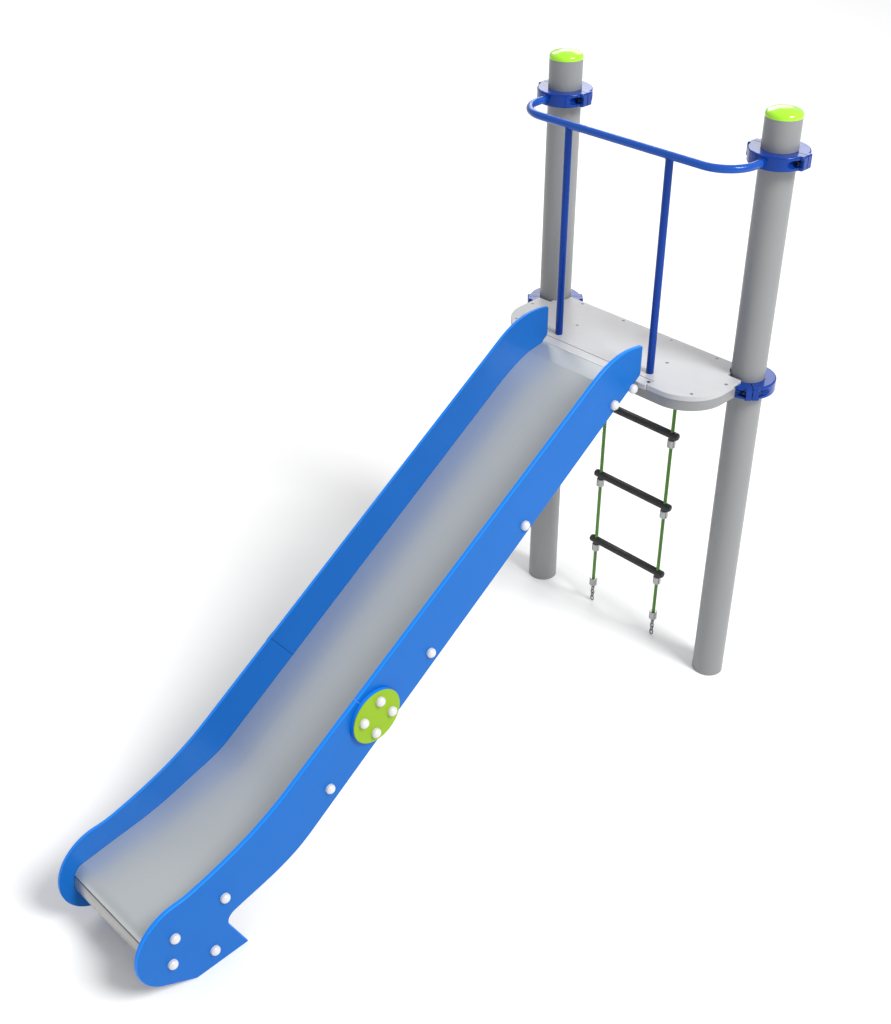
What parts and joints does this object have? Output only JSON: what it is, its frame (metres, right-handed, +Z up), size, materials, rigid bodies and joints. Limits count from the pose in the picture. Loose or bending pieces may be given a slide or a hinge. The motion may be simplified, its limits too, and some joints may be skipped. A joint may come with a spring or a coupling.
{
  "type": "straight playground slide",
  "caption": "Straight slide with a steel chute between blue side panels, a small deck on two round posts, a guard rail and a rope ladder behind.",
  "frame": {"origin": "centre of the bounding box's bottom: on the ground, on the slide's middle line", "axes": "+X across the slide, +Y towards the posts, the chute descends towards -Y, +Z up"},
  "size_m": [1.238, 2.9444, 2.5322],
  "materials": {
    "post_coat": "light grey powder coat, fine texture",
    "lime_cap": "glossy lime plastic",
    "clamp_blue": "glossy blue coating over a casting",
    "rail_blue": "glossy blue coating",
    "deck_grey": "light grey anti-slip board",
    "skirt_grey": "mid grey coating",
    "frame_steel": "galvanised",
    "fastener_steel": "stainless",
    "stainless_sheet": "satin rolled sheet",
    "toe_steel": "satin tube",
    "panel_blue": "bright blue board, satin",
    "lime_disc": "lime board layer, satin",
    "white_cap": "glossy white plastic",
    "ferrule_aluminium": "pressed, bright",
    "green_rope": "twisted strands over a wire core",
    "rung_black": "ribbed, satin",
    "chain_steel": "welded links"
  },
  "bodies": {
    "frame": {"left_post": "post_coat", "right_post": "post_coat", "post_feet": "frame_steel", "left_post_cap": "lime_cap", "right_post_cap": "lime_cap", "upper_left_clamp_front": "clamp_blue", "upper_left_clamp_rear": "clamp_blue", "upper_right_clamp_front": "clamp_blue", "upper_right_clamp_rear": "clamp_blue", "lower_left_clamp_inner": "clamp_blue", "lower_left_clamp_outer": "clamp_blue", "lower_right_clamp_inner": "clamp_blue", "lower_right_clamp_outer": "clamp_blue", "clamp_bolts": "fastener_steel", "clamp_nuts": "fastener_steel", "guard_rail": "rail_blue", "left_guard_upright": "rail_blue", "right_guard_upright": "rail_blue", "deck_plate": "deck_grey", "entry_strip": "deck_grey", "deck_skirt": "skirt_grey", "deck_cross_bars": "frame_steel", "deck_joists": "frame_steel", "deck_lugs": "frame_steel", "deck_screws": "fastener_steel", "strip_screws": "fastener_steel", "chute_sheet": "stainless_sheet", "top_tie_bars": "frame_steel", "tie_bars": "frame_steel", "toe_tube": "toe_steel", "toe_cover": "toe_steel", "left_upper_panel": "panel_blue", "left_lower_panel": "panel_blue", "right_upper_panel": "panel_blue", "right_lower_panel": "panel_blue", "left_joint_disc": "panel_blue", "right_joint_disc": "panel_blue", "left_disc_face": "lime_disc", "right_disc_face": "lime_disc", "tie_bolts": "fastener_steel", "disc_bolts": "fastener_steel", "disc_nuts": "fastener_steel", "disc_bolt_caps": "white_cap", "left_bolt_caps": "white_cap", "right_bolt_caps": "white_cap", "slide_brackets": "frame_steel", "bracket_bolts": "fastener_steel", "ladder_hangers": "frame_steel", "hanger_pins": "fastener_steel"},
    "ladder": {"rope_terminals": "ferrule_aluminium", "left_rope": "green_rope", "right_rope": "green_rope", "top_rung": "rung_black", "middle_rung": "rung_black", "bottom_rung": "rung_black", "rung_collars": "rung_black", "rope_ferrules": "ferrule_aluminium", "end_ferrules": "ferrule_aluminium"},
    "left_chain": {"left_chain": "chain_steel"},
    "right_chain": {"right_chain": "chain_steel"}
  },
  "joints": [
    {"name": "ladder_sway", "type": "hinge", "parent": "frame", "child": "ladder", "pos_m": [0, 1.36225, 1.405], "axis": [1, 0, 0], "range_deg": [-1.5, 1.5]},
    {"name": "left_chain_swing", "type": "hinge", "parent": "ladder", "child": "left_chain", "pos_m": [-0.18, 1.36225, 0.0771], "axis": [1, 0, 0], "range_deg": [-28, 28]},
    {"name": "right_chain_swing", "type": "hinge", "parent": "ladder", "child": "right_chain", "pos_m": [0.18, 1.36225, 0.0771], "axis": [1, 0, 0], "range_deg": [-28, 28]}
  ],
  "couplings": [
    {"joint": "left_chain_swing", "follows": "ladder_sway", "ratio": -18.223},
    {"joint": "right_chain_swing", "follows": "ladder_sway", "ratio": -18.223}
  ]
}
